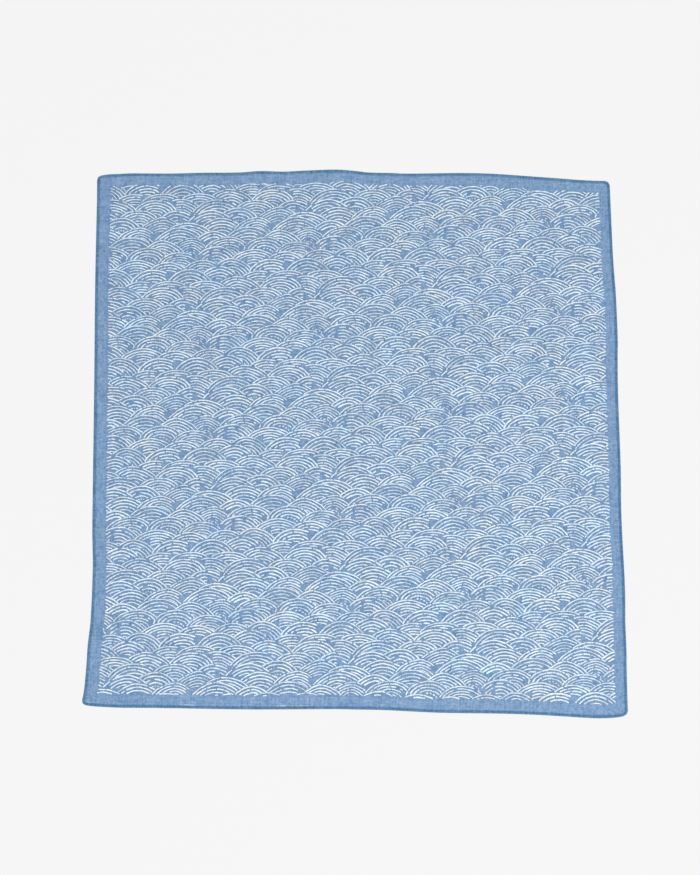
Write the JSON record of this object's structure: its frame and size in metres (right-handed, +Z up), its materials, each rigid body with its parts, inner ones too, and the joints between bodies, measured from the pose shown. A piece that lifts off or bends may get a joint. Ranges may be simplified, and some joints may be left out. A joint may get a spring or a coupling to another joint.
{
  "type": "handkerchief",
  "caption": "Thin square cotton handkerchief laid out flat, with a narrow rolled hem and a printed wave-fan field inside a plain border.",
  "frame": {"origin": "middle of the footprint, on the surface that the cloth lies on", "axes": "+Z up out of the printed face, +Y towards the cloth's far edge, +X to the right along it"},
  "size_m": [0.5248, 0.5473, 0.0023],
  "materials": {
    "cotton": "thin plain-woven light denim-blue cotton, matt, with a white wave-fan print"
  },
  "bodies": {
    "root": {"handkerchief": "cotton"}
  },
  "joints": []
}
